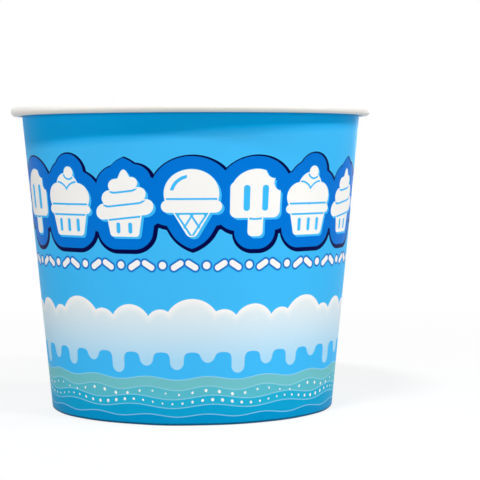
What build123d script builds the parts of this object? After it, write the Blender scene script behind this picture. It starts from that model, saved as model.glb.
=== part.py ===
from build123d import *
import math
import os

# A paper ice cream cup: one wound side wall of board with a rolled rim, a lapped seam at the back
# and a hem at its foot, and one drawn bottom whose skirt is held in that hem.
# Millimetres, +Z up. The origin is on the table under the middle of the cup, the front faces -Y
# and the seam is at +Y.

# Sizes of the whole cup
cup_height = 81.6
rim_diameter = 98.0
foot_diameter = 76.9

# Side wall board
wall_board = 0.40

# Rolled rim: the height of its flattened roll, the level run that widens it, and the lip that is
# tucked up inside it beside the wall
roll_height = 2.4
roll_flat = 0.9
lip_bend_radius = 0.8
lip_run = 0.35
lip_gap = 0.35

# Lapped seam: the outer ply, the slope that climbs to it, how far the two plies are pressed, and
# the rise above the foot over which they part, because the hem is pressed to one board
lap_width = 7.0
slope_width = 3.0
pressed_share = 0.85
seam_foot_rise = 3.0

# Hem, folded in and up behind the bottom's skirt
hem_bend_radius = 0.10
hem_run = 5.6

# Bottom: a disc drawn up into the cup, with its skirt turned down along the wall
bottom_board = 0.40
bottom_rise = 9.6
bottom_bend_radius = 1.0
skirt_end_gap = 0.10
seal_gap = 0.02

# Each bend of the board is pressed in equal creases, which touch its radius between them.
rim_inner_crease_count = 3
rim_outer_crease_count = 4
lip_crease_count = 2
hem_crease_count = 1
bottom_crease_count = 2

OUTWARD = 0.0
FULL_TURN = 360.0
HALF_TURN = 180.0
RIGHT_ANGLE = 90.0
SEAM_AZIMUTH = 90.0
LEFT_SIDE = 1
RIGHT_SIDE = -1


def direction(degrees):
    """Unit step in the section plane, along a heading measured from the outward radius."""
    return Vector(math.cos(math.radians(degrees)), math.sin(math.radians(degrees)))


def right_of(degrees):
    """Unit step to the right of a heading, which is the printed side of the wall."""
    return direction(degrees - RIGHT_ANGLE)


def run(length):
    """A straight stretch of the sheet."""
    return ("run", length)


def bend(radius, turn, creases):
    """A bend of the sheet: its reference face's radius, its turn in degrees, left positive, and
    the number of creases that share the turn."""
    return ("bend", radius, turn, creases)


def shift(length, sideways):
    """A straight stretch over which the sheet itself moves to the right of its reference face."""
    return ("shift", length, sideways)


def walk(start, heading, moves, offset):
    """Corners of the line that starts at an offset to the right of the reference face."""
    here = start
    corners = [start + right_of(heading) * offset]
    for move in moves:
        if move[0] == "run":
            here = here + direction(heading) * move[1]
        elif move[0] == "shift":
            corners.append(here + right_of(heading) * offset)
            here = here + direction(heading) * move[1]
            offset = offset + move[2]
            corners.append(here + right_of(heading) * offset)
        else:
            radius, turn, creases = move[1:]
            side = LEFT_SIDE if turn > 0 else RIGHT_SIDE
            centre = here - right_of(heading) * (side * radius)
            crease_turn = turn / creases
            spoke = (side * radius + offset) / math.cos(math.radians(crease_turn / 2))
            for crease in range(creases):
                angle = heading + crease_turn * (crease + 1 / 2)
                corners.append(centre + right_of(angle) * spoke)
            heading = heading + turn
            here = centre + right_of(heading) * (side * radius)
    corners.append(here + right_of(heading) * offset)
    return corners


def sheet_section(start, heading, moves, board):
    """Section of a bent sheet, whose board lies to the right of its reference face."""
    outline = walk(start, heading, moves, 0) + walk(start, heading, moves, board)[::-1]
    return Plane.XZ * make_face(Polyline(*outline, close=True))


def turned(section, first_azimuth, last_azimuth):
    """Solid that a section of the sheet sweeps round the cup's axis, between two azimuths."""
    placed = Rot(0, 0, first_azimuth) * section
    return revolve(placed, axis=Axis.Z, revolution_arc=last_azimuth - first_azimuth)


# The wall's white face is its reference. It runs straight from the foot's bend, which turns
# left, to the first bend of the rim, which turns right, so it follows the crossed tangent of the
# two bends' circles.
roll_radius = roll_height / 2
roll_outer_centre = Vector(rim_diameter / 2 - roll_radius, cup_height - roll_radius)
roll_inner_centre = roll_outer_centre - direction(OUTWARD) * roll_flat
foot_centre = Vector(
    foot_diameter / 2 - wall_board - hem_bend_radius,
    wall_board + hem_bend_radius,
)
between_centres = roll_inner_centre - foot_centre
wall_heading = math.degrees(
    math.atan2(between_centres.Y, between_centres.X)
    + math.asin((roll_radius + hem_bend_radius) / between_centres.length)
)
wall_lean = math.sin(math.radians(wall_heading))
wall_start = foot_centre + right_of(wall_heading) * hem_bend_radius
wall_end = roll_inner_centre - right_of(wall_heading) * roll_radius
wall_run = (wall_end - wall_start).length


def on_wall(height):
    """Point of the wall's white face at a height."""
    return wall_start + direction(wall_heading) * ((height - wall_start.Y) / wall_lean)


# The hem's inside width is the board of the bottom's skirt with a glue line on each side.
hem_space = bottom_board + 2 * seal_gap
hem_floor_run = (hem_space - 2 * hem_bend_radius) / wall_lean
hem_heading = wall_heading - HALF_TURN
hem_centre = foot_centre - direction(OUTWARD) * hem_floor_run
hem_start = (
    hem_centre + right_of(hem_heading) * hem_bend_radius - direction(hem_heading) * hem_run
)

# The lip stands in the roll beside the wall, clear of the seam's second ply.
lip_centre_height = cup_height - roll_height + lip_bend_radius
lip_offset = wall_board + lip_gap + lip_bend_radius
lip_centre_radius = on_wall(lip_centre_height).X + lip_offset / wall_lean


def wall_section(*foot_moves):
    """Section of the whole wall from the hem's free edge to the lip, with the moves that it
    makes on the lowest stretch above its foot."""
    foot_run = sum(move[1] for move in foot_moves)
    moves = [
        run(hem_run),
        bend(hem_bend_radius, -hem_heading, hem_crease_count),
        run(hem_floor_run),
        bend(hem_bend_radius, wall_heading, hem_crease_count),
        *foot_moves,
        run(wall_run - foot_run),
        bend(roll_radius, -wall_heading, rim_inner_crease_count),
        run(roll_flat),
        bend(roll_radius, -HALF_TURN, rim_outer_crease_count),
        run(roll_outer_centre.X - lip_centre_radius),
        bend(lip_bend_radius, wall_heading - HALF_TURN, lip_crease_count),
        run(lip_run),
    ]
    return sheet_section(hem_start, hem_heading, moves, wall_board)


# Azimuths of the seam, and how far its outer ply stands over its inner one
lap_angle = math.degrees(lap_width / (rim_diameter / 2))
slope_angle = math.degrees(slope_width / (rim_diameter / 2))
lap_start = SEAM_AZIMUTH - lap_angle / 2
lap_end = SEAM_AZIMUTH + lap_angle / 2
slope_start = lap_start - slope_angle
step_depth = 2 * pressed_share * wall_board - wall_board


def make_side_wall():
    """The wound wall: one board nearly all the way round, a slope that lifts it over its own
    inner edge, and the outer ply of the lap."""
    plain = wall_section()
    level = wall_section(shift(seam_foot_rise, 0))
    lifted = wall_section(shift(seam_foot_rise, step_depth))

    single = turned(plain, lap_start, slope_start + FULL_TURN)
    slope = loft([Rot(0, 0, slope_start) * level, Rot(0, 0, lap_start) * lifted], ruled=True)
    lap = turned(lifted, lap_start, lap_end)
    return single + slope + lap


def make_bottom_disc():
    """The drawn bottom: a flat disc whose edge turns down into a skirt along the wall."""
    face_height = bottom_rise + bottom_board
    bend_height = face_height - bottom_bend_radius
    disc_run = on_wall(bend_height).X - (seal_gap + bottom_bend_radius) / wall_lean
    skirt_top = Vector(disc_run, bend_height) - right_of(hem_heading) * bottom_bend_radius
    skirt_run = (skirt_top.Y - foot_centre.Y - skirt_end_gap) / wall_lean
    moves = [
        run(disc_run),
        bend(bottom_bend_radius, hem_heading, bottom_crease_count),
        run(skirt_run),
    ]
    section = sheet_section(Vector(0, face_height), OUTWARD, moves, bottom_board)
    return turned(section, 0, FULL_TURN)


os.makedirs("parts", exist_ok=True)
export_step(make_side_wall(), "parts/side_wall.step")
export_step(make_bottom_disc(), "parts/bottom_disc.step")
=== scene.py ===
import math
from collections import namedtuple
from functools import partial, reduce
from types import SimpleNamespace

import bmesh
import bpy
import numpy as np
from bpy.props import FloatProperty, FloatVectorProperty, IntProperty, PointerProperty
from bpy.types import Operator, Panel, PropertyGroup
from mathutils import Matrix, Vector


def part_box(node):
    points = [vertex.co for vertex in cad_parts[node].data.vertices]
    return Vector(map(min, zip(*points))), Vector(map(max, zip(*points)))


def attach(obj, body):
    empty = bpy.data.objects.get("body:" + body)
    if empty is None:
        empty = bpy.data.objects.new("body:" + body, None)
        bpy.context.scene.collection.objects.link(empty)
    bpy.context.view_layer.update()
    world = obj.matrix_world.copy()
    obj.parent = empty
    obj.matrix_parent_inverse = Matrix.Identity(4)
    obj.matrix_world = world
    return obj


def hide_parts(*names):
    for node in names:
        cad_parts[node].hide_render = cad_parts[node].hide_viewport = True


# A round paper ice cream cup: a wound wall of printed board with a rolled rim, a lapped seam at the
# back and a hem at its foot, and a drawn bottom held in that hem. Metres, +Z up, the front faces -Y.

bl_info = {
    "name": "Paper Ice Cream Cup",
    "version": (1, 0, 0),
    "blender": (4, 5, 0),
    "location": "3D View > Sidebar > Paper Cup",
    "description": "Winds a printed paper cup with a rolled rim and sets it in a small studio",
    "category": "Object",
}

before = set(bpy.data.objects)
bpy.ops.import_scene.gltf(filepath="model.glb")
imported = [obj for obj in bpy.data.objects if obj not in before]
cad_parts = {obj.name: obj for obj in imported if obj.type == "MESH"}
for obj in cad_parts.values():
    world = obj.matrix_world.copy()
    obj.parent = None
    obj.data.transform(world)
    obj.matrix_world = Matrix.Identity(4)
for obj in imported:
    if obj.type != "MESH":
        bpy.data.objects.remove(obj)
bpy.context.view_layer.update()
WALL_LOW, WALL_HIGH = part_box("side_wall")

MM = 0.001
UPRIGHT = math.pi / 2
HALF_TURN = math.pi
FULL_TURN = 2 * math.pi
BACK = math.pi / 2
FRONT = 3 * math.pi / 2

# Small sizes of the boards: the foot's bend, the lip that is tucked into the roll, the stretch over
# which the seam's plies part, the slope beside the lap, how far the lap is pressed, and the gaps
# between its plies, at the skirt's seal and under the skirt.
FOOT_BEND = 0.10 * MM
LIP_BEND = 0.8 * MM
LIP_RUN = 0.35 * MM
LIP_GAP = 0.35 * MM
SEAM_RISE = 3.0 * MM
SLOPE_WIDTH = 3.0 * MM
PRESSED_SHARE = 0.85
PLY_GAP = 0.005 * MM
SEAL_GAP = 0.02 * MM
SKIRT_END_GAP = 0.10 * MM

# The print is drawn on the flat blank in millimetres: across from the middle of the front, at the
# radius of the large row, and up from the foot. Inks fade out over a narrow edge.
PRINT_RADIUS = 43.8
PRINT_ROUND = FULL_TURN * PRINT_RADIUS
PRINT_PER_METRE = 1000.0
INK_EDGE = 0.07

# The field deepens towards the rim, past a soft edge that swings once up and down round the cup. This
# is
# # partly a deeper print band and partly painted shadow of the rim: the edge's swing follows the
# rim's shadow.
FIELD_SHADE_FROM = 73.6
FIELD_SHADE_SWING = 2.7
FIELD_SHADE_FADE = 2.6

# The print goes round the foot, where a painted shade darkens the fold as the floor's contact shadow
# # would, and ends inside the hem and just short of the cut edges.
FOLD_SHADE_REACH = 0.15
FOLD_SHADE_FADE = 0.15
FOLD_SHADE_SHARE = 0.85
BLEED_END = -2.6
BARE_MARGIN = 0.25


def ink(red, green, blue):
    """A colour as Blender counts it, from red, green and blue as a screen shows them (0 to 255)."""
    share = np.array([red, green, blue]) / 255
    linear = np.where(share <= 0.04045, share / 12.92, ((share + 0.055) / 1.055) ** 2.4)
    return tuple(linear.tolist())


def tinted(name, description, shown):
    """A colour that a user can change, with its default as a screen shows it."""
    return FloatVectorProperty(
        name=name, description=description, subtype="COLOR", size=3, min=0, max=1,
        default=ink(*shown),
    )


def sized(name, description, default):
    """A length that a user can change, in metres."""
    return FloatProperty(
        name=name, description=description, unit="LENGTH", subtype="DISTANCE", precision=5, min=0,
        default=default,
    )


class CupSizes(PropertyGroup):
    """Sizes of the cup's two boards."""

    rim_diameter: sized("Rim diameter", "Across the rolled rim", WALL_HIGH.x - WALL_LOW.x)
    cup_height: sized("Height", "From the table to the top of the rim", WALL_HIGH.z)
    foot_diameter: sized("Foot diameter", "Across the folded foot", 76.9 * MM)
    wall_board: sized("Wall board", "Thickness of the wall's board", 0.40 * MM)
    roll_height: sized("Roll height", "Height of the rolled rim", 2.4 * MM)
    roll_flat: sized("Roll flat", "Level stretch on top of the roll", 0.9 * MM)
    lap_width: sized("Lap width", "Width of the lapped seam at the rim", 7.0 * MM)
    hem_run: sized("Hem height", "Height of the hem inside the recess", 5.6 * MM)
    knurl_depth: sized("Knurl depth", "Depth of the pressed ribs in the hem", 0.14 * MM)
    foot_ripple: sized("Foot ripple", "Unevenness of the folded foot", 0.12 * MM)
    wall_wave: sized("Wall wave", "Unevenness of the wound wall", 0.10 * MM)
    bottom_board: sized("Bottom board", "Thickness of the bottom's board", 0.40 * MM)
    bottom_rise: sized("Bottom rise", "Height of the recess under the bottom", 9.6 * MM)
    bottom_bend: sized("Bottom bend", "Radius of the bottom's drawn edge", 1.0 * MM)
    pleat_depth: sized("Pleat depth", "Depth of the drawn skirt's pleats", 0.05 * MM)
    knurl_ribs: IntProperty(
        name="Knurl ribs", description="Number of pressed ribs round the hem", default=100, min=8
    )
    skirt_pleats: IntProperty(
        name="Skirt pleats", description="Number of pleats round the skirt", default=72, min=8
    )


class CupInks(PropertyGroup):
    """Colours of the board and of the print."""

    board: tinted("Board", "Coated white board", (240, 238, 234))
    raw_edge: tinted("Cut edge", "Bare fibres at a cut edge", (232, 225, 212))
    sky: tinted("Field", "Main field of the print", (64, 187, 250))
    # Deeper print at the rim, which also paints the shadow that the rim casts on the wall.
    deep_sky_and_rim_shade: tinted("Field at the rim and painted rim shadow", "Deeper end of the field, painted as the rim's shadow", (2, 166, 237))
    outline: tinted("Outline", "Broad outline of the large row", (0, 117, 216))
    contour: tinted("Contour", "Thin dark line round the outline", (2, 6, 72))
    edge: tinted("Lit edge", "Narrow edge of the white shapes", (60, 188, 252))
    paper_white: tinted("White", "White shapes of the print", (248, 248, 247))
    small_outline: tinted("Small outline", "Outline of the small row", (0, 104, 200))
    cream: tinted("Cream", "Upper part of the cream band", (229, 239, 243))
    cool_cream: tinted("Cool cream", "Lower part of the cream band", (170, 220, 249))
    pale_stripe: tinted("Pale stripe", "First wavy stripe", (112, 194, 203))
    teal_stripe: tinted("Teal stripe", "Second wavy stripe", (88, 188, 206))
    blue_stripe: tinted("Blue stripe", "Third wavy stripe", (36, 176, 213))
    deep_stripe: tinted("Deep stripe", "Fourth wavy stripe", (12, 162, 211))
    foot_stripe: tinted("Foot stripe", "Lowest stripe, at the foot", (2, 148, 204))
    # Painted shade along the foot's fold, where it meets the floor.
    painted_fold_shade: tinted("Painted fold shade", "Painted shade along the folded foot", (18, 84, 124))


def direction(heading):
    """Unit step (outward, up) in the cup's section, along a heading from the outward radius."""
    return np.array([math.cos(heading), math.sin(heading)])


def right_of(heading):
    """Unit step to the right of a heading."""
    return direction(heading - UPRIGHT)


def section_of(cup):
    """Places and headings that the wall and the bottom share. The wall's white face is straight
    from the foot's bend, which turns left, to the rim's first bend, which turns right, so it is
    the crossed tangent of their two circles."""
    roll_radius = cup.roll_height / 2
    roll_outer = np.array([cup.rim_diameter / 2 - roll_radius, cup.cup_height - roll_radius])
    roll_inner = roll_outer - direction(0) * cup.roll_flat
    foot_depth = cup.wall_board + FOOT_BEND
    foot_centre = np.array([cup.foot_diameter / 2 - foot_depth, foot_depth])
    across, up = roll_inner - foot_centre
    crossing = math.asin((roll_radius + FOOT_BEND) / math.hypot(across, up))
    heading = math.atan2(up, across) + crossing
    wall_start = foot_centre + right_of(heading) * FOOT_BEND
    wall_end = roll_inner - right_of(heading) * roll_radius
    return SimpleNamespace(
        heading=heading, lean=math.sin(heading), roll_radius=roll_radius, roll_outer=roll_outer,
        foot_centre=foot_centre, wall_start=wall_start, wall_end=wall_end,
    )


def wall_radius(section, height):
    """Radius of the wall's white face at a height."""
    return section.wall_start[0] + (height - section.wall_start[1]) / math.tan(section.heading)


def straight(length, steps=1):
    """A straight stretch of the sheet: its length, no turn, and its steps."""
    return (length, 0.0, steps)


def bent(radius, turn, steps):
    """A round bend of the sheet: the length of its arc, its turn, left positive, and its steps."""
    return (radius * abs(turn), turn, steps)


def follow(start, heading, moves):
    """The line of a bent sheet's reference face: places, headings and the distance run. Along each
    move the heading turns evenly, so the places lie on a straight line, or on an arc whose radius is
    the length over the turn."""
    places, headings, runs = [np.array([start])], [np.array([heading])], [np.zeros(1)]
    for length, turn, steps in moves:
        share = np.arange(1, steps + 1) / steps
        angles = heading + turn * share
        here = places[-1][-1]
        if turn:
            radius = length / turn
            across = radius * (np.sin(angles) - math.sin(heading))
            up = radius * (math.cos(heading) - np.cos(angles))
        else:
            across = length * share * math.cos(heading)
            up = length * share * math.sin(heading)
        places.append(here + np.stack([across, up], 1))
        headings.append(angles)
        runs.append(runs[-1][-1] + length * share)
        heading = heading + turn
    return np.concatenate(places), np.concatenate(headings), np.concatenate(runs)


def eased(share):
    """0 below 0 and 1 above 1, and between them the smooth curve 3 s^2 - 2 s^3."""
    share = np.clip(share, 0, 1)
    return share * share * (3 - 2 * share)


def turned_skin(places, headings, azimuths, near, far, lift=0.0, swell=0.0):
    """Both faces of a sheet that is wound round the axis. A point at azimuth a and at a place (r, z)
    of the line lies at radius r and height z, moved by the face's offset to the right of the
    heading, by the swell outward and by the lift upward. Returns an array of azimuth, place round
    the sheet's outline (near face along the line, then far face back), and x, y, z."""
    around = azimuths[:, None]
    faces = []
    for offset in (near, far):
        radius = places[:, 0] + np.sin(headings) * offset + swell
        height = places[:, 1] - np.cos(headings) * offset + lift
        x, y = radius * np.cos(around), radius * np.sin(around)
        faces.append(np.stack(np.broadcast_arrays(x, y, height), -1))
    return np.concatenate([faces[0], faces[1][:, ::-1]], 1)


def skin_faces(columns, rows):
    """Columns and rows of each face's corners on a grid, in the order that points it outward. The
    row past the last one is for the caller to wrap to the first, which closes the outline."""
    column, row = np.meshgrid(np.arange(columns - 1), np.arange(rows), indexing="ij")
    column, row = column.ravel(), row.ravel()
    after = row + 1
    return (
        np.stack([column, column, column + 1, column + 1], 1),
        np.stack([row, after, after, row], 1),
    )


# Edges that turn by more than any step of a round bend are shown sharp, and points within the
# pole's reach of each other are merged.
SHARP_TURN = math.radians(38)
POLE_REACH = 0.001 * MM


def placed(name, data):
    """A new object in the scene, of a mesh, a light or a camera."""
    thing = bpy.data.objects.new(name, data)
    bpy.context.collection.objects.link(thing)
    return thing


def new_piece(name, points, faces, finishes, finish_of_face, maps):
    """An object from an array of points and one of four-cornered faces, with its finishes, the
    finish of each face and its named maps."""
    mesh = bpy.data.meshes.new(name)
    mesh.from_pydata(points.reshape(-1, 3), [], faces)
    for finish in finishes:
        mesh.materials.append(finish)
    mesh.polygons.foreach_set("material_index", finish_of_face.astype(np.int32))
    for map_name, places in maps.items():
        layer = mesh.uv_layers.new(name=map_name, do_init=False)
        layer.uv.foreach_set("vector", places.astype(np.float32).ravel())
    mesh.update()
    mesh.shade_smooth()
    mesh.set_sharp_from_angle(angle=SHARP_TURN)
    return placed(name, mesh)


def close_poles(mesh):
    """Merges the points that lie on the axis, where the faces become triangles."""
    work = bmesh.new()
    work.from_mesh(mesh)
    bmesh.ops.remove_doubles(work, verts=work.verts, dist=POLE_REACH)
    work.to_mesh(mesh)
    work.free()


def joined(tree, kind, *given):
    """A new shader node of a kind, with any given outputs of others linked to its first slots."""
    node = tree.nodes.new("ShaderNode" + kind)
    for slot, output in zip(node.inputs, given):
        tree.links.new(output, slot)
    return node


class Field:
    """A number that varies over a surface, which is one output of a node tree. Sums, differences
    and products of fields and numbers add Math nodes to that tree."""

    def __init__(self, socket):
        self.socket = socket

    def __add__(self, other):
        return worked_out("ADD", self, other)

    def __sub__(self, other):
        return worked_out("SUBTRACT", self, other)

    def __rsub__(self, other):
        return worked_out("SUBTRACT", other, self)

    def __mul__(self, other):
        return worked_out("MULTIPLY", self, other)

    def __abs__(self):
        return worked_out("ABSOLUTE", self)


def worked_out(operation, *values, clamp=False):
    """The field that one Math node makes of fields and numbers."""
    tree = next(value.socket.id_data for value in values if isinstance(value, Field))
    node = joined(tree, "Math")
    node.operation = operation
    node.use_clamp = clamp
    for slot, value in zip(node.inputs, values):
        if isinstance(value, Field):
            tree.links.new(value.socket, slot)
        else:
            slot.default_value = value
    return Field(node.outputs[0])


def nearest(*distances):
    """The smallest of some distances, which joins their shapes."""
    return reduce(partial(worked_out, "MINIMUM"), distances)


def within(*distances):
    """The largest of some distances, which keeps what their shapes share."""
    return reduce(partial(worked_out, "MAXIMUM"), distances)


def length_of(across, up):
    """The square root of the sum of two squares."""
    return worked_out("SQRT", worked_out("MULTIPLY_ADD", up, up, across * across))


def round_spot(x, y, middle, radius):
    """Distance outside a circle: the way to its middle, less its radius."""
    return length_of(x - middle[0], y - middle[1]) - radius


def rounded(x, y, middle, reach, corner, flare=0.0):
    """Distance outside a box with round corners: how far a point lies beyond the box's reach, both
    ways as one length, less the corners' radius. Its reach across grows by the flare with height."""
    up = y - middle[1]
    across = abs(x - middle[0]) - reach[0]
    if flare:
        across = across - up * flare
    beyond = worked_out("MAXIMUM", across, 0.0)
    above = worked_out("MAXIMUM", abs(up) - reach[1], 0.0)
    return length_of(beyond, above) - corner


def repeated(across, pitch, place=0.0):
    """Place within one of the repeats of a row, from minus to plus half its pitch."""
    return worked_out("WRAP", across - place, pitch / 2, -pitch / 2)


def inside(distance, edge=INK_EDGE):
    """How much ink covers a place: 1 inside the shape and 0 outside, over a narrow edge."""
    return worked_out("MULTIPLY_ADD", distance, -1 / edge, 0.5, clamp=True)


def ramp(value, start, end):
    """A field's even rise from 0 at a start to 1 at an end, and no further."""
    span = end - start
    return worked_out("MULTIPLY_ADD", value, 1 / span, -start / span, clamp=True)


def waved(across, count):
    """A sine wave with so many waves round the cup."""
    return worked_out("SINE", across * (count / PRINT_RADIUS))


# The large row: sixteen ices of four kinds, placed so that even gaps lie between them. A kind is
# drawn about its own middle in millimetres, with its foot at 0 and its top at about 17, and the row
# stretches it across. Its function gives the distances to its shape and to the lines within it.
TREAT_COUNT = 16
TREAT_PLACES = (0.0, 16.6, 33.4, 51.2)
TREAT_PERIOD = PRINT_ROUND * len(TREAT_PLACES) / TREAT_COUNT
TREAT_FOOT = 48.0
TREAT_STRETCH = 1.11

# Its inks: lines within the white shapes, a lit edge that leans to the lower right, a broad outline,
# a dark contour that leans the same way, and a faint halo on the field.
TREAT_LINE = 0.50
LINE_INSET = 0.3
EDGE_REACH = 0.12
EDGE_SHIFT = (0.62, -0.55)
OUTLINE_REACH = 3.25
CONTOUR_REACH = 0.76
CONTOUR_SHIFT = (0.30, -0.36)
HALO_REACH = 2.2
HALO_FADE = 2.4
HALO_SHARE = 0.16

# The scoop, which is also the pop's round top, its glint, and the lattice on the cone.
SCOOP_MIDDLE = (0, 10.8)
SCOOP_RADIUS = 6.2
GLINT_RADIUS = 4.5
GLINT_LINE = 0.40
LATTICE_PITCH = 2.7
LATTICE_LINE = 0.24
LATTICE_ACROSS = 0.86
LATTICE_UP = 0.51


def rim_line(distance):
    """A thin line just outside a shape, drawn where another shape lies under it."""
    return within(distance - TREAT_LINE, 0 - distance)


def ice_cone(x, y):
    """A scoop with a brim, on a pointed cone. The lines are the brim's lower edge, a lattice on the
    cone, and a glint on the scoop, which is part of a ring about its middle."""
    scoop = round_spot(x, y, SCOOP_MIDDLE, SCOOP_RADIUS)
    brim = rounded(x, y, (0, 7.7), (5.3, 0), 1.6)
    cone = rounded(x, y, (0, 4.1), (2.4, 3.4), 0.7, 0.54)
    leans = (x * LATTICE_ACROSS + y * up for up in (LATTICE_UP, -LATTICE_UP))
    lattice = nearest(*(abs(repeated(lean, LATTICE_PITCH)) - LATTICE_LINE for lean in leans))
    crossed = within(lattice, y - 5.8, abs(x) - 6.0)
    ring = abs(round_spot(x, y, SCOOP_MIDDLE, GLINT_RADIUS)) - GLINT_LINE
    glint = within(ring, x + 1.0, 11.7 - y)
    return nearest(scoop, brim, cone), nearest(rim_line(brim), crossed, glint)


def ice_pop(x, y):
    """A bar on a stick, round at the top, with a bite of two scallops. The lines are two long
    dimples, and the bar's foot over the stick."""
    block = rounded(x, y, (0, 9.3), (4.6, 3.0), 1.6)
    crown = round_spot(x, y, SCOOP_MIDDLE, SCOOP_RADIUS)
    bites = nearest(round_spot(x, y, (6.6, 13.6), 2.2), round_spot(x, y, (4.6, 16.9), 2.3))
    bar = within(nearest(block, crown), 0 - bites)
    stick = rounded(x, y, (0, 3.2), (0.7, 2.0), 1.2)
    dimples = rounded(abs(x), y, (2.3, 9.7), (0, 2.5), 0.78)
    return nearest(bar, stick), nearest(dimples, rim_line(bar))


def ice_tub(x, y):
    """Three scoops and a cherry in a rimmed tub, with no gap between the lower two scoops. The lines
    are stripes on the tub, its rim's edges, the lower scoops before the top one, and the cherry."""
    tub = rounded(x, y, (0, 3.1), (4.5, 2.3), 0.8, 0.22)
    rim = rounded(x, y, (0, 6.7), (6.0, 0), 1.1)
    packed = rounded(x, y, (0, 8.8), (1.6, 0.6), 0.8)
    scoops = round_spot(abs(x), y, (3.3, 9.8), 3.7)
    crown = round_spot(x, y, (0, 12.3), 3.8)
    cherry = round_spot(x, y, (0.9, 16.2), 1.5)
    stripes = rounded(abs(abs(x) - 1.5), y, (1.5, 2.7), (0, 1.2), 0.5)
    scoop_lines = within(rim_line(scoops), 7.6 - y)
    cherry_line = within(rim_line(cherry), y - 16.2)
    return (
        nearest(tub, packed, rim, scoops, crown, cherry),
        nearest(stripes, scoop_lines, cherry_line, rim_line(rim)),
    )


def ice_swirl(x, y):
    """Three soft turns, each a slanted rod with round ends, and a tip, on a flat-footed wafer. The
    lines are the lower edge of each turn, and two ribs on the wafer."""
    slant = y - x * 0.12
    low = rounded(x, slant, (0, 6.9), (5.2, 0), 2.0)
    middle = rounded(x, slant, (0, 10.2), (3.6, 0), 1.9)
    high = rounded(x, slant, (0, 13.2), (2.0, 0), 1.6)
    tip = rounded(x, y, (0.4, 15.2), (0.5, 1.0), 0.8, -0.45)
    wafer = rounded(x, y, (0, 2.9), (3.3, 2.2), 0.7, 0.16)
    ribs = rounded(abs(x), y, (1.5, 2.2), (0, 0.9), 0.5)
    edges = (
        within(rim_line(turn), y - foot)
        for turn, foot in ((low, 6.0), (middle, 9.6), (high, 12.8))
    )
    return nearest(wafer, low, middle, high, tip), nearest(*edges, ribs)


def treat_row(across, up):
    """The row in which each kind returns after the others: distance to the nearest treat, and to
    the nearest line inside one."""
    treats = [
        kind(repeated(across, TREAT_PERIOD, place) * (1 / TREAT_STRETCH), up)
        for place, kind in zip(TREAT_PLACES, (ice_cone, ice_pop, ice_tub, ice_swirl))
    ]
    shapes, lines = zip(*treats)
    return {"Treats": nearest(*shapes), "Lines": nearest(*lines)}


# The small row: pairs of leaning sprinkles with a bead after each pair, over a soft outline.
SPRINKLE_GROUPS = 24
SPRINKLE_PITCH = PRINT_ROUND / SPRINKLE_GROUPS
SPRINKLE_HEIGHT = 40.8
SPRINKLE_LEAN = math.radians(32)
SPRINKLE_REACH = 1.05
SPRINKLE_RADIUS = 0.76
BEAD_RADIUS = 0.95
SMALL_OUTLINE = 0.50
SMALL_OUTLINE_FADE = 0.3
SMALL_OUTLINE_SHARE = 0.9


def sprinkle(x, y, lean):
    """A short round-ended rod at a lean: its place is turned by the lean before it is measured."""
    along = x * math.cos(lean) + y * math.sin(lean)
    aside = y * math.cos(lean) - x * math.sin(lean)
    return rounded(along, aside, (0, 0), (SPRINKLE_REACH, 0), SPRINKLE_RADIUS)


def sprinkle_row(across, up):
    """Distance to the nearest sprinkle or bead."""
    third = SPRINKLE_PITCH / 3
    first = sprinkle(repeated(across, SPRINKLE_PITCH, -third), up, SPRINKLE_LEAN)
    second = sprinkle(repeated(across, SPRINKLE_PITCH), up, -SPRINKLE_LEAN)
    bead = round_spot(repeated(across, SPRINKLE_PITCH, third), up, (0, 0), BEAD_RADIUS)
    return {"Sprinkles": nearest(first, second, bead)}


# The cream band: scallops of four sizes above, each with its share of the pitch along the row, the
# height of its middle and its radius, and drips of four lengths below. It cools downwards, and its
# crests are white, as far down as the creases between them.
SCALLOP_PITCH = PRINT_ROUND / 8
SCALLOPS = ((0.0, 24.4, 7.9), (0.25, 25.2, 4.4), (0.5, 24.6, 6.2), (0.75, 25.6, 4.0))
CREAM_LINE = 25.4
CREASE_FADE = 3.6
CREST_DEPTH = 1.1
CREST_FADE = 1.8
WARM_CREAM_AT = 30.0
COOL_CREAM_AT = 16.0
DRIP_LINE = 18.6
DRIP_PITCH = PRINT_ROUND / 32
DRIP_RADIUS = 1.9
DRIP_LENGTHS = (0.8, 3.6, 1.6, 2.6)
DRIP_BLEND = 3.0


def cream_edges(across, up):
    """Distance outside the scalloped upper edge, and outside the lower one, where fillets join the
    drips to their line."""
    scallops = (
        round_spot(repeated(across, SCALLOP_PITCH, share * SCALLOP_PITCH), up, (0, height), radius)
        for share, height, radius in SCALLOPS
    )
    foot = DRIP_LINE - up
    for place, drop in enumerate(DRIP_LENGTHS):
        x = repeated(across, DRIP_PITCH * len(DRIP_LENGTHS), DRIP_PITCH * (place + 0.5))
        drip = rounded(x, up, (0, DRIP_LINE - drop / 2), (0, drop / 2), DRIP_RADIUS)
        foot = worked_out("SMOOTH_MIN", foot, drip, DRIP_BLEND)
    return {"Top": nearest(up - CREAM_LINE, *scallops), "Foot": foot}


# The wavy stripes at the foot, from the top: ink, upper edge, height of the wave, waves round the
# cup, and the number of dots that follow the edge. The dots swell and shrink in turn.
STRIPES = (
    ("pale_stripe", 11.9, 0.45, 16, 0),
    ("teal_stripe", 9.3, 0.55, 16, 72),
    ("blue_stripe", 6.9, 0.55, 12, 96),
    ("deep_stripe", 4.6, 0.50, 12, 0),
    ("foot_stripe", 2.2, 0.35, 16, 0),
)
STRIPE_LINE = 0.13
STRIPE_LINE_SHARE = 0.5
DOT_DROP = 1.15
DOT_RADIUS = 0.34
DOT_SWELL = 0.10
DOT_SWELLS = 8


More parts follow.
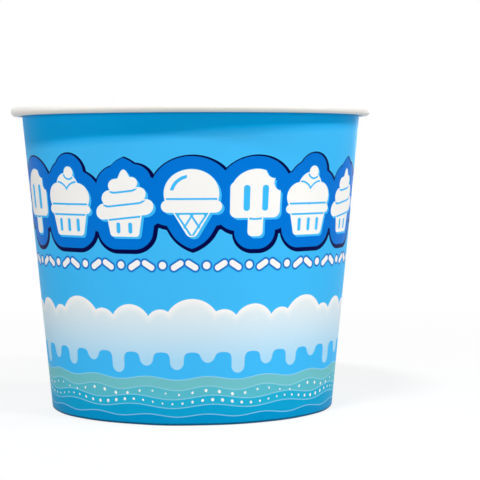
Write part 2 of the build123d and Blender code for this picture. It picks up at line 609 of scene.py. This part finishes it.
def field_group(formula):
    """A node group that turns a place on the print into distances, by a formula above."""
    group = bpy.data.node_groups.new(formula.__name__, "ShaderNodeTree")
    for label in ("Across", "Up"):
        group.interface.new_socket(label, in_out="INPUT", socket_type="NodeSocketFloat")
    given = group.nodes.new("NodeGroupInput").outputs
    made = formula(Field(given["Across"]), Field(given["Up"]))
    for label in made:
        group.interface.new_socket(label, in_out="OUTPUT", socket_type="NodeSocketFloat")
    slots = group.nodes.new("NodeGroupOutput").inputs
    for label, distance in made.items():
        group.links.new(distance.socket, slots[label])
    return group


def measured(formula, across, up):
    """The distances that a formula gives at a place on the print, by its own node group."""
    tree = across.socket.id_data
    node = joined(tree, "Group")
    node.node_tree = bpy.data.node_groups.get(formula.__name__) or field_group(formula)
    tree.links.new(across.socket, node.inputs["Across"])
    tree.links.new(up.socket, node.inputs["Up"])
    return [Field(output) for output in node.outputs]


def noise(tree, place, scale, detail):
    """Fractal noise over a place, from 0 to 1."""
    node = joined(tree, "TexNoise", place)
    node.inputs["Scale"].default_value = scale
    node.inputs["Detail"].default_value = detail
    return Field(node.outputs["Fac"])


def put_colour(tree, slot, colour):
    """Gives a node's slot a colour: an ink, or another node's output."""
    if isinstance(colour, bpy.types.NodeSocket):
        tree.links.new(colour, slot)
    else:
        slot.default_value = (*colour, 1)


def covered(tree, below, share, above):
    """Colour of a layer of ink over what is below it, where the share says how much covers."""
    node = joined(tree, "Mix")
    node.data_type = "RGBA"
    factor, first, second = node.inputs[0], node.inputs[6], node.inputs[7]
    put_colour(tree, first, below)
    put_colour(tree, second, above)
    tree.links.new(share.socket, factor)
    return node.outputs[2]


def varied(clouds, middle, reach):
    """A value that follows the clouds, evenly to both sides of its middle."""
    return clouds * (2 * reach) + (middle - reach)


def mottled(tree, colour, clouds, reach):
    """A colour that the board's fibres make slightly darker and lighter."""
    node = joined(tree, "HueSaturation")
    put_colour(tree, node.inputs["Color"], colour)
    tree.links.new(varied(clouds, 1, reach).socket, node.inputs["Value"])
    return node.outputs["Color"]


def laid(tree, colour, layers):
    """Colour of some layers, each a share and an ink, laid in turn over what is below them."""
    for share, above in layers:
        colour = covered(tree, colour, share, above)
    return colour


def place_on_print(tree):
    """How far across and up the print a point lies, from the wall's own map."""
    place = joined(tree, "UVMap")
    place.uv_map = "Print"
    parts = joined(tree, "SeparateXYZ", place.outputs["UV"]).outputs
    return Field(parts["X"]) * PRINT_PER_METRE, Field(parts["Y"]) * PRINT_PER_METRE


def treat_layers(inks, across, up):
    """The large row, from its halo up to its lines."""
    treats, lines = measured(treat_row, across, up)
    lit_edge = measured(treat_row, across - EDGE_SHIFT[0], up - EDGE_SHIFT[1])[0]
    dropped = measured(treat_row, across - CONTOUR_SHIFT[0], up - CONTOUR_SHIFT[1])[0]
    yield inside(treats - (OUTLINE_REACH + HALO_REACH), HALO_FADE) * HALO_SHARE, inks.edge
    yield inside(dropped - (OUTLINE_REACH + CONTOUR_REACH)), inks.contour
    yield inside(treats - OUTLINE_REACH), inks.outline
    yield inside(nearest(lit_edge, treats - EDGE_REACH)), inks.edge
    yield inside(treats), inks.paper_white
    yield inside(within(lines, treats + LINE_INSET)), inks.edge


def sprinkle_layers(inks, across, up):
    """The small row over its soft outline."""
    sprinkles = measured(sprinkle_row, across, up)[0]
    outline = inside(sprinkles - SMALL_OUTLINE, SMALL_OUTLINE_FADE)
    yield outline * SMALL_OUTLINE_SHARE, inks.small_outline
    yield inside(sprinkles), inks.paper_white


def cream_layer(tree, inks, across, up):
    """The cream band: one layer, whose colour is laid by itself."""
    top, foot = measured(cream_edges, across, up)
    above_creases = ramp(up, CREAM_LINE, CREAM_LINE + CREASE_FADE)
    cream = laid(tree, inks.cream, [
        (ramp(up, WARM_CREAM_AT, COOL_CREAM_AT), inks.cool_cream),
        (inside(0 - top - CREST_DEPTH, CREST_FADE) * above_creases, inks.paper_white),
    ])
    return inside(within(top, foot)), cream


def stripe_layers(inks, across, up):
    """The wavy stripes, each with a pale line along its edge, and the dots of some."""
    swell = waved(across, DOT_SWELLS) * DOT_SWELL
    for name, height, depth, waves, dots in STRIPES:
        edge = up - height - waved(across, waves) * depth
        yield inside(edge), getattr(inks, name)
        yield inside(abs(edge) - STRIPE_LINE) * STRIPE_LINE_SHARE, inks.cool_cream
        if dots:
            x = repeated(across, PRINT_ROUND / dots)
            yield inside(round_spot(x, edge, (0, -DOT_DROP), DOT_RADIUS) - swell), inks.paper_white


def print_colour(tree, inks, seam_reach):
    """The print's colour, from the bottom layer of ink to the top one. A narrow margin is bare
    beside the two cut edges, which lie the seam's reach from the front."""
    across, up = place_on_print(tree)
    deep_shade_from = waved(across, 1) * FIELD_SHADE_SWING + FIELD_SHADE_FROM
    bare = nearest(up - BLEED_END, seam_reach - BARE_MARGIN - abs(across))
    return laid(tree, inks.sky, [
        # Painted shadow under the rim, laid as the deeper end of the field.
        (inside(deep_shade_from - up, FIELD_SHADE_FADE), inks.deep_sky_and_rim_shade),
        *treat_layers(inks, across, up - TREAT_FOOT),
        *sprinkle_layers(inks, across, up - SPRINKLE_HEIGHT),
        cream_layer(tree, inks, across, up),
        *stripe_layers(inks, across, up),
        # Painted shade along the fold of the foot.
        (inside(abs(up) - FOLD_SHADE_REACH, FOLD_SHADE_FADE) * FOLD_SHADE_SHARE, inks.painted_fold_shade),
        (inside(bare), inks.board),
    ])


# The board's surfaces: the roughness, how far the lie of the fibres varies it, the gloss, how many
# clouds of fibres a metre holds, the depth of their relief, and how far they shade the colour.
Surface = namedtuple("Surface", "roughness roughness_reach gloss clouds relief mottle")
SATIN_PRINT = Surface(0.40, 0.05, 0.02, 700, 0.012 * MM, 0.012)
SATIN_BOARD = Surface(0.38, 0.06, 0.20, 520, 0.022 * MM, 0.010)
BARE_EDGE = Surface(0.92, 0, 0.10, 2600, 0.030 * MM, 0.06)
CLOUD_DETAIL = 3
SPECKS_IN_CLOUD = 6
SPECK_DETAIL = 2
SPECK_SHARE = 0.35


def board_finish(name, surface, colour_of):
    """The board's material of that name, which is made the first time. Its roughness, its relief and
    a colour that is worked out in its tree follow the cloudy lie of the fibres."""
    finish = bpy.data.materials.get(name)
    if finish:
        return finish
    finish = bpy.data.materials.new(name)
    finish.use_nodes = True
    tree = finish.node_tree
    shader = tree.nodes["Principled BSDF"].inputs
    shader["Roughness"].default_value = surface.roughness
    shader["Specular IOR Level"].default_value = surface.gloss

    place = joined(tree, "TexCoord").outputs["Object"]
    clouds = noise(tree, place, surface.clouds, CLOUD_DETAIL)
    specks = noise(tree, place, surface.clouds * SPECKS_IN_CLOUD, SPECK_DETAIL)
    relief = joined(tree, "Bump")
    relief.inputs["Distance"].default_value = surface.relief
    tree.links.new((clouds + specks * SPECK_SHARE).socket, relief.inputs["Height"])
    tree.links.new(relief.outputs["Normal"], shader["Normal"])
    if surface.roughness_reach:
        roughness = varied(clouds, surface.roughness, surface.roughness_reach)
        tree.links.new(roughness.socket, shader["Roughness"])
    colour = mottled(tree, colour_of(tree), clouds, surface.mottle)
    tree.links.new(colour, shader["Base Color"])
    return finish


def printed_finish(cup, inks):
    """Board printed in flat inks under a satin varnish."""
    seam_reach = PRINT_ROUND / 2 + PRINT_RADIUS * cup.lap_width / cup.rim_diameter
    return board_finish("satin_print", SATIN_PRINT, lambda tree: print_colour(tree, inks, seam_reach))


def coated_finish(inks):
    """White board under a thin satin coat."""
    return board_finish("satin_board", SATIN_BOARD, lambda tree: inks.board)


def cut_finish(inks):
    """Bare fibres at the board's cut edges."""
    return board_finish("bare_edge", BARE_EDGE, lambda tree: inks.raw_edge)


PRINTED, WHITE, CUT = 0, 1, 2

# The wall's steps round the cup, and along the stretches and the bends of its section.
WALL_STEP = math.radians(0.6)
HEM_STEPS = 6
FOOT_BEND_STEPS = 4
SEAM_RISE_STEPS = 4
WALL_STEPS = 9
ROLL_INNER_STEPS = 8
ROLL_OUTER_STEPS = 15
LIP_STEPS = 6

# Unevenness: the foot's, which fades out over a height, and the wall's own, from a height over the
# foot to a distance under the rim. Each is a mean of waves: how many go round, and where they start.
FOOT_WAVES = ((5, 0.4), (9, 2.0), (14, 4.1))
FOOT_WAVES_RISE = 18.0 * MM
WALL_WAVES = ((3, 1.0), (7, 0.2), (11, 3.0))
WALL_WAVES_FROM = 12.0 * MM
WALL_WAVES_STOP = 3.0 * MM

# Shares of the square bake map: the printed face lies in two strips, one for each half of its way
# round, and the white face and the cut edges stand beside them.
PRINT_STRIP_SHARES = (0.006, 0.836)
STRIP_HEIGHT_SHARES = (0.006, 0.494)
WHITE_STRIP_SHARES = (0.848, 0.950)
EDGE_STRIP_SHARES = (0.958, 0.972)
CAP_STRIP_SHARES = (0.980, 0.994)
FOLD_SHARE = 0.045
CAP_FACE_SHARE = 0.4
SECOND_CAP_SHARE = 0.5


def wall_outline(cup):
    """The wall's white face from the hem's free edge to the lip, all along its round bends: places,
    headings and the distance run past the foot, and the length of the straight wall."""
    section = section_of(cup)
    heading = section.heading
    hem_heading = heading - HALF_TURN
    hem_floor = (cup.bottom_board + 2 * SEAL_GAP - 2 * FOOT_BEND) / section.lean
    hem_centre = section.foot_centre - direction(0) * hem_floor
    start = hem_centre + right_of(hem_heading) * FOOT_BEND - direction(hem_heading) * cup.hem_run
    wall_run = float(np.linalg.norm(section.wall_end - section.wall_start))
    guard = 2 * cup.wall_board
    lip_height = cup.cup_height - cup.roll_height + LIP_BEND
    lip_reach = cup.wall_board + LIP_GAP + LIP_BEND
    lip_radius = wall_radius(section, lip_height) + lip_reach / section.lean
    hem_moves = [
        straight(cup.hem_run, HEM_STEPS),
        bent(FOOT_BEND, -hem_heading, FOOT_BEND_STEPS),
        straight(hem_floor),
        bent(FOOT_BEND, heading, FOOT_BEND_STEPS),
    ]
    wall_moves = [
        straight(SEAM_RISE, SEAM_RISE_STEPS),
        straight(wall_run - SEAM_RISE - guard, WALL_STEPS),
        straight(guard),
        bent(section.roll_radius, -heading, ROLL_INNER_STEPS),
        straight(cup.roll_flat),
        bent(section.roll_radius, -HALF_TURN, ROLL_OUTER_STEPS),
        straight(section.roll_outer[0] - lip_radius),
        bent(LIP_BEND, heading - HALF_TURN, LIP_STEPS),
        straight(LIP_RUN),
    ]
    places, headings, runs = follow(start, hem_heading, hem_moves + wall_moves)
    runs = runs - sum(move[0] for move in hem_moves)
    return SimpleNamespace(places=places, headings=headings, runs=runs, wall_run=wall_run)


def rippled(azimuths, waves):
    """Mean of sine waves round the cup, each with a whole number of waves and a start."""
    mean = sum(np.sin(count * azimuths + start) for count, start in waves) / len(waves)
    return mean[:, None]


def ribbed(azimuths, count):
    """So many narrow ribs round the cup: the square of a raised cosine, from 0 to 1."""
    return ((0.5 - 0.5 * np.cos(count * azimuths)) ** 2)[:, None]


def wound_points(cup, azimuths, line, seam):
    """Points of the wound wall, whose near face is the white one and whose far face is printed. In
    the slope before the lap both climb over the inner ply, and where the two plies meet in the
    folded foot each is pressed to half its board. The hem's inner side is knurled, the foot lifts
    here and there, and the wall swells in and out."""
    runs = line.runs
    parted = eased(runs / SEAM_RISE)[None, :]
    climbed = eased((azimuths - seam.slope_start - FULL_TURN) / seam.slope)[:, None]
    paired = 1 - eased((azimuths - seam.lap_end) / seam.slope)[:, None]
    step = 2 * PRESSED_SHARE * cup.wall_board - cup.wall_board
    near = climbed * (cup.wall_board * (1 + parted) / 2 + PLY_GAP)
    far = cup.wall_board * (1 - (1 - parted) * paired / 2) + climbed * parted * step

    hem_end = runs[HEM_STEPS]
    hem_share = np.clip(1 + (runs - hem_end) / cup.hem_run, 0, 1)
    in_hem = np.where(runs < hem_end, np.sin(hem_share * HALF_TURN), 0)
    far = far - cup.knurl_depth * ribbed(azimuths, cup.knurl_ribs) * in_hem

    lift = (0.5 + 0.5 * rippled(azimuths, FOOT_WAVES)) * (1 - eased(runs / FOOT_WAVES_RISE))
    waved_run = line.wall_run - WALL_WAVES_FROM - WALL_WAVES_STOP
    share = np.clip((runs - WALL_WAVES_FROM) / waved_run, 0, 1)
    wave = rippled(azimuths, WALL_WAVES) * np.sin(share * HALF_TURN) ** 2
    return turned_skin(
        line.places, line.headings, azimuths, near, far, lift * cup.foot_ripple, wave * cup.wall_wave
    )


def strip_places(share, limits):
    """Places across a strip of the bake map."""
    return limits[0] + share * (limits[1] - limits[0])


def wall_maps(azimuths, line, columns, rows, finish_of_face):
    """The print's own map, in metres across and up the blank, and the bake's map. Both are worked
    out for each corner of each face, so a face never bridges two strips of the bake's map."""
    runs = line.runs
    along = np.concatenate([runs, runs[::-1]])[rows % (2 * len(runs))]
    across = (azimuths - FRONT)[columns] * PRINT_RADIUS / PRINT_PER_METRE
    print_map = np.stack([across, along], -1)

    last = len(azimuths) - 1
    round_share = columns / last
    middle = last // 2
    second = (columns.min(1) >= middle)[:, None]
    half_share = np.where(second, columns - middle, columns) / (last - middle)
    knots = (runs[0], 0, line.wall_run, runs[-1])
    up_share = np.interp(along, knots, (0, FOLD_SHARE, 1 - FOLD_SHARE, 1))
    printed = np.stack([
        strip_places(half_share, PRINT_STRIP_SHARES),
        strip_places(up_share, STRIP_HEIGHT_SHARES) + second / 2,
    ], -1)
    flat_share = (along - runs[0]) / (runs[-1] - runs[0])
    white = np.stack([strip_places(flat_share, WHITE_STRIP_SHARES), round_share], -1)
    edge_share = (rows == rows.min(1)[:, None]).astype(float)
    edge = np.stack([strip_places(edge_share, EDGE_STRIP_SHARES), round_share], -1)
    return print_map, np.choose(finish_of_face[:, None, None], [printed, white, edge])


def end_faces(last_column, count):
    """Columns and rows of the faces that close the sheet's two upright cut edges."""
    row = np.arange(count - 1)
    far = 2 * count - 1 - row
    first = np.stack([row, far, far - 1, row + 1], 1)
    last = np.stack([row, row + 1, far - 1, far], 1)
    columns = np.concatenate([np.zeros_like(first), np.full_like(last, last_column)])
    return columns, np.concatenate([first, last])


def make_wound_wall(cup, inks):
    """The side wall as one closed sheet. Nothing reads the print's map on its two upright cut edges,
    so both maps are the same there."""
    line = wall_outline(cup)
    lap = cup.lap_width / (cup.rim_diameter / 2)
    slope = SLOPE_WIDTH / (cup.rim_diameter / 2)
    lap_start = BACK - lap / 2
    seam = SimpleNamespace(slope=slope, lap_end=BACK + lap / 2, slope_start=lap_start - slope)
    azimuths = np.linspace(lap_start, seam.lap_end + FULL_TURN, round((FULL_TURN + lap) / WALL_STEP))
    points = wound_points(cup, azimuths, line, seam)

    count = len(line.runs)
    columns, rows = skin_faces(len(azimuths), 2 * count)
    row = rows[:, 0]
    finish_of_face = np.where(row < count, WHITE, PRINTED)
    finish_of_face[row % count == count - 1] = CUT
    print_map, bake_map = wall_maps(azimuths, line, columns, rows, finish_of_face)

    cap_columns, cap_rows = end_faces(len(azimuths) - 1, count)
    cap_up = np.minimum(cap_rows, 2 * count - 1 - cap_rows) / (count - 1)
    cap_aside = (cap_rows >= count) * CAP_FACE_SHARE + (cap_columns > 0) * SECOND_CAP_SHARE
    cap_map = np.stack([strip_places(cap_aside, CAP_STRIP_SHARES), cap_up], -1)

    all_columns = np.concatenate([columns, cap_columns])
    all_rows = np.concatenate([rows, cap_rows]) % (2 * count)
    return new_piece(
        "wound_wall",
        points,
        all_columns * (2 * count) + all_rows,
        [printed_finish(cup, inks), coated_finish(inks), cut_finish(inks)],
        np.concatenate([finish_of_face, np.full(len(cap_rows), CUT)]),
        {
            "Print": np.concatenate([print_map, cap_map]),
            "OFBake": np.concatenate([bake_map, cap_map]),
        },
    )


# The bottom's steps along its section, and round each pleat. The pleats grow from where the bend
# starts, over so many of its radii.
DISC_STEPS = 5
BOTTOM_BEND_STEPS = 8
SKIRT_STEPS = 4
PLEAT_STEPS = 5
PLEAT_GROWTH = 4

# Its bake map is two discs: places across of the upper and the under side, place up and radius.
DISC_ACROSS_SHARES = (0.25, 0.75)
DISC_UP_SHARE = 0.5
DISC_RADIUS_SHARE = 0.24


def make_drawn_bottom(cup, inks):
    """The bottom: a disc whose edge is drawn down, over a round bend, into a skirt with pleats."""
    section = section_of(cup)
    face_height = cup.bottom_rise + cup.bottom_board
    bend_height = face_height - cup.bottom_bend
    face_run = wall_radius(section, bend_height) - (SEAL_GAP + cup.bottom_bend) / section.lean
    hem_heading = section.heading - HALF_TURN
    skirt_top = bend_height - right_of(hem_heading)[1] * cup.bottom_bend
    skirt_run = (skirt_top - section.foot_centre[1] - SKIRT_END_GAP) / section.lean
    moves = [
        straight(face_run - cup.bottom_board, DISC_STEPS),
        straight(cup.bottom_board),
        bent(cup.bottom_bend, hem_heading, BOTTOM_BEND_STEPS),
        straight(skirt_run, SKIRT_STEPS),
    ]
    places, headings, runs = follow((0, face_height), 0.0, moves)
    columns_round = PLEAT_STEPS * cup.skirt_pleats
    azimuths = np.linspace(0, FULL_TURN, columns_round + 1)
    drawn = eased((runs - face_run) / (PLEAT_GROWTH * cup.bottom_bend))
    pleats = cup.pleat_depth * ribbed(azimuths, cup.skirt_pleats) * drawn
    near = pleats * (1 - drawn)
    far = cup.bottom_board + pleats
    points = turned_skin(places, headings, azimuths, near, far)[:-1]

    count = len(runs)
    columns, rows = skin_faces(len(azimuths), 2 * count)
    keep = rows[:, 0] != 2 * count - 1
    columns, rows = columns[keep] % columns_round, rows[keep]
    row = rows[:, 0]
    radius_share = np.concatenate([runs, runs[::-1]])[rows] / runs[-1]
    side = (row >= count).astype(int)[:, None]
    around = azimuths[columns]
    spread = radius_share * DISC_RADIUS_SHARE
    bake_map = np.stack([
        np.array(DISC_ACROSS_SHARES)[side] + spread * np.cos(around),
        DISC_UP_SHARE + spread * np.sin(around),
    ], -1)
    piece = new_piece(
        "drawn_bottom",
        points,
        columns * (2 * count) + rows,
        [coated_finish(inks), cut_finish(inks)],
        np.where(row == count - 1, 1, 0),
        {"OFBake": bake_map},
    )
    close_poles(piece.data)
    return piece


# The camera: its place, its lens in millimetres, and how far it looks down, leans and looks to the
# right, in radians.
CAMERA_PLACE = (0.0, -0.4587, 0.0685)
CAMERA_LENS = 125.1
CAMERA_DIP = 0.0506
CAMERA_ROLL = 0.0033
CAMERA_PAN = 0.0291

# The floor is seen as a grey with a lift of plain light near the cup, and as white further off. The
# light that it throws back is that of a duller, warmer grey.
FLOOR_REACH = 6.0
FLOOR_WHITE_FROM = 0.08
FLOOR_WHITE_TO = 0.32
FLOOR_NEAR = (0.21, 0.21, 0.21, 1)
FLOOR_LIFT = 0.77
FLOOR_BOUNCE = (0.44, 0.42, 0.39, 1)
PLAIN_WHITE = (1, 1, 1, 1)
FILL_LEVEL = 0.13

# The lamps: name, azimuth and elevation in degrees, distance and size in metres, and power in watts.
# The azimuth is 0 in front of the cup and grows to the camera's right.
LAMPS = (
    ("overhead softbox", -20, 60, 1.2, (0.22, 0.07), 7.4),
    ("right softbox", 48, 45, 1.5, (0.14, 0.09), 6.2),
    ("far right softbox", 88, 38, 1.5, (0.14, 0.09), 5.2),
    ("left bank", -78, 8, 1.6, (1.0, 0.6), 7.2),
    ("front bank", 2, 8, 1.6, (0.8, 0.5), 6.9),
    ("side strip", 76, 4, 1.1, (0.07, 0.60), 3.2),
    ("back bank", 172, 8, 1.7, (1.0, 0.6), 8.5),
)


def add_lamp(name, azimuth, elevation, distance, size, power):
    """A rectangular lamp that looks at the cup's middle."""
    data = bpy.data.lights.new(name, "AREA")
    data.shape = "RECTANGLE"
    data.size, data.size_y = size
    data.energy = power
    turn, rise = math.radians(azimuth), math.radians(elevation)
    back = np.array([
        math.sin(turn) * math.cos(rise), -math.cos(turn) * math.cos(rise), math.sin(rise)
    ])
    light = placed(name, data)
    light.location = back * distance + np.array([0, 0, WALL_HIGH.z / 2])
    light.rotation_euler = (UPRIGHT - rise, 0, turn)


def plain_shader(tree, kind, colour, strength=None):
    """Output of a diffuse, emission or background node of one colour, with its strength if given."""
    node = joined(tree, kind)
    node.inputs["Color"].default_value = colour
    if strength is not None:
        node.inputs["Strength"].default_value = strength
    return node.outputs[0]


def mixed_shader(tree, share, first, second):
    """Output of a mix of two shaders, where the share says how much of the second there is."""
    return joined(tree, "MixShader", share.socket, first, second).outputs[0]


def seen_directly(tree):
    """1 for what the camera sees, also in a gloss or through something clear, and 0 for the light
    that falls on things."""
    path = joined(tree, "LightPath").outputs
    return within(*(Field(path[f"Is {kind} Ray"]) for kind in ("Camera", "Glossy", "Transmission")))


def make_floor():
    """A pale floor. Near the cup it takes the light and the cup's soft shadow, and further off it
    passes evenly into plain white, so that it meets the white world without an edge."""
    mesh = bpy.data.meshes.new("floor")
    corners = FLOOR_REACH * np.array([(-1, -1, 0), (1, -1, 0), (1, 1, 0), (-1, 1, 0)])
    mesh.from_pydata(corners, [], [(0, 1, 2, 3)])
    floor = placed("floor", mesh)

    finish = bpy.data.materials.new("pale_floor")
    finish.use_nodes = True
    tree = finish.node_tree
    tree.nodes.clear()
    place = joined(tree, "TexCoord").outputs["Object"]
    way = joined(tree, "VectorMath", place)
    way.operation = "LENGTH"
    far = ramp(Field(way.outputs["Value"]), FLOOR_WHITE_FROM, FLOOR_WHITE_TO)
    near = plain_shader(tree, "BsdfDiffuse", FLOOR_NEAR)
    lift = plain_shader(tree, "Emission", PLAIN_WHITE, FLOOR_LIFT)
    white = plain_shader(tree, "Emission", PLAIN_WHITE)
    bounce = plain_shader(tree, "BsdfDiffuse", FLOOR_BOUNCE)
    lit = joined(tree, "AddShader", near, lift).outputs[0]
    pale = mixed_shader(tree, far, lit, white)
    joined(tree, "OutputMaterial", mixed_shader(tree, seen_directly(tree), bounce, pale))
    mesh.materials.append(finish)


def make_world():
    """An even white world: full white where it is seen, and a softer fill where it lights."""
    world = bpy.data.worlds.new("studio")
    bpy.context.scene.world = world
    world.use_nodes = True
    tree = world.node_tree
    tree.nodes.clear()
    fill = plain_shader(tree, "Background", PLAIN_WHITE, FILL_LEVEL)
    white = plain_shader(tree, "Background", PLAIN_WHITE)
    joined(tree, "OutputWorld", mixed_shader(tree, seen_directly(tree), fill, white))


def make_camera():
    """A long lens just in front of the cup, a little above its middle."""
    data = bpy.data.cameras.new("camera")
    data.lens = CAMERA_LENS
    camera = placed("camera", data)
    camera.location = CAMERA_PLACE
    camera.rotation_euler = (UPRIGHT - CAMERA_DIP, CAMERA_ROLL, -CAMERA_PAN)
    bpy.context.scene.camera = camera


class CUP_OT_wind_wall(Operator):
    """Wind the printed side wall with its rolled rim, lapped seam and hem"""

    bl_idname = "paper_cup.wind_wall"
    bl_label = "Wind Wall"

    def execute(self, context):
        wall = make_wound_wall(context.scene.paper_cup_sizes, context.scene.paper_cup_inks)
        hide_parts("side_wall")
        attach(wall, "root")
        return {"FINISHED"}


class CUP_OT_draw_bottom(Operator):
    """Draw the white bottom with its pleated skirt"""

    bl_idname = "paper_cup.draw_bottom"
    bl_label = "Draw Bottom"

    def execute(self, context):
        bottom = make_drawn_bottom(context.scene.paper_cup_sizes, context.scene.paper_cup_inks)
        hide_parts("bottom_disc")
        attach(bottom, "root")
        return {"FINISHED"}


class CUP_OT_set_studio(Operator):
    """Set the floor, the light and the camera"""

    bl_idname = "paper_cup.set_studio"
    bl_label = "Set Studio"

    def execute(self, context):
        make_floor()
        make_world()
        make_camera()
        for settings in LAMPS:
            add_lamp(*settings)
        context.scene.view_settings.view_transform = "Standard"
        return {"FINISHED"}


class CUP_PT_sidebar(Panel):
    """Sizes, colours and steps of the paper cup"""

    bl_idname = "CUP_PT_sidebar"
    bl_label = "Paper Cup"
    bl_space_type = "VIEW_3D"
    bl_region_type = "UI"
    bl_category = "Paper Cup"

    def draw(self, context):
        for settings in (context.scene.paper_cup_sizes, context.scene.paper_cup_inks):
            box = self.layout.box()
            for name in settings.__annotations__:
                box.prop(settings, name)
        for step in (CUP_OT_wind_wall, CUP_OT_draw_bottom, CUP_OT_set_studio):
            self.layout.operator(step.bl_idname)


CLASSES = (
    CupSizes, CupInks, CUP_OT_wind_wall, CUP_OT_draw_bottom, CUP_OT_set_studio, CUP_PT_sidebar
)


def register():
    """Adds the cup's classes and settings to Blender."""
    for kind in CLASSES:
        bpy.utils.register_class(kind)
    bpy.types.Scene.paper_cup_sizes = PointerProperty(type=CupSizes)
    bpy.types.Scene.paper_cup_inks = PointerProperty(type=CupInks)


def unregister():
    """Takes the cup's settings and classes out of Blender again."""
    del bpy.types.Scene.paper_cup_inks
    del bpy.types.Scene.paper_cup_sizes
    for kind in reversed(CLASSES):
        bpy.utils.unregister_class(kind)


def main():
    """Makes the cup and its studio."""
    register()
    bpy.ops.paper_cup.wind_wall()
    bpy.ops.paper_cup.draw_bottom()
    bpy.ops.paper_cup.set_studio()


if __name__ == "__main__":
    main()
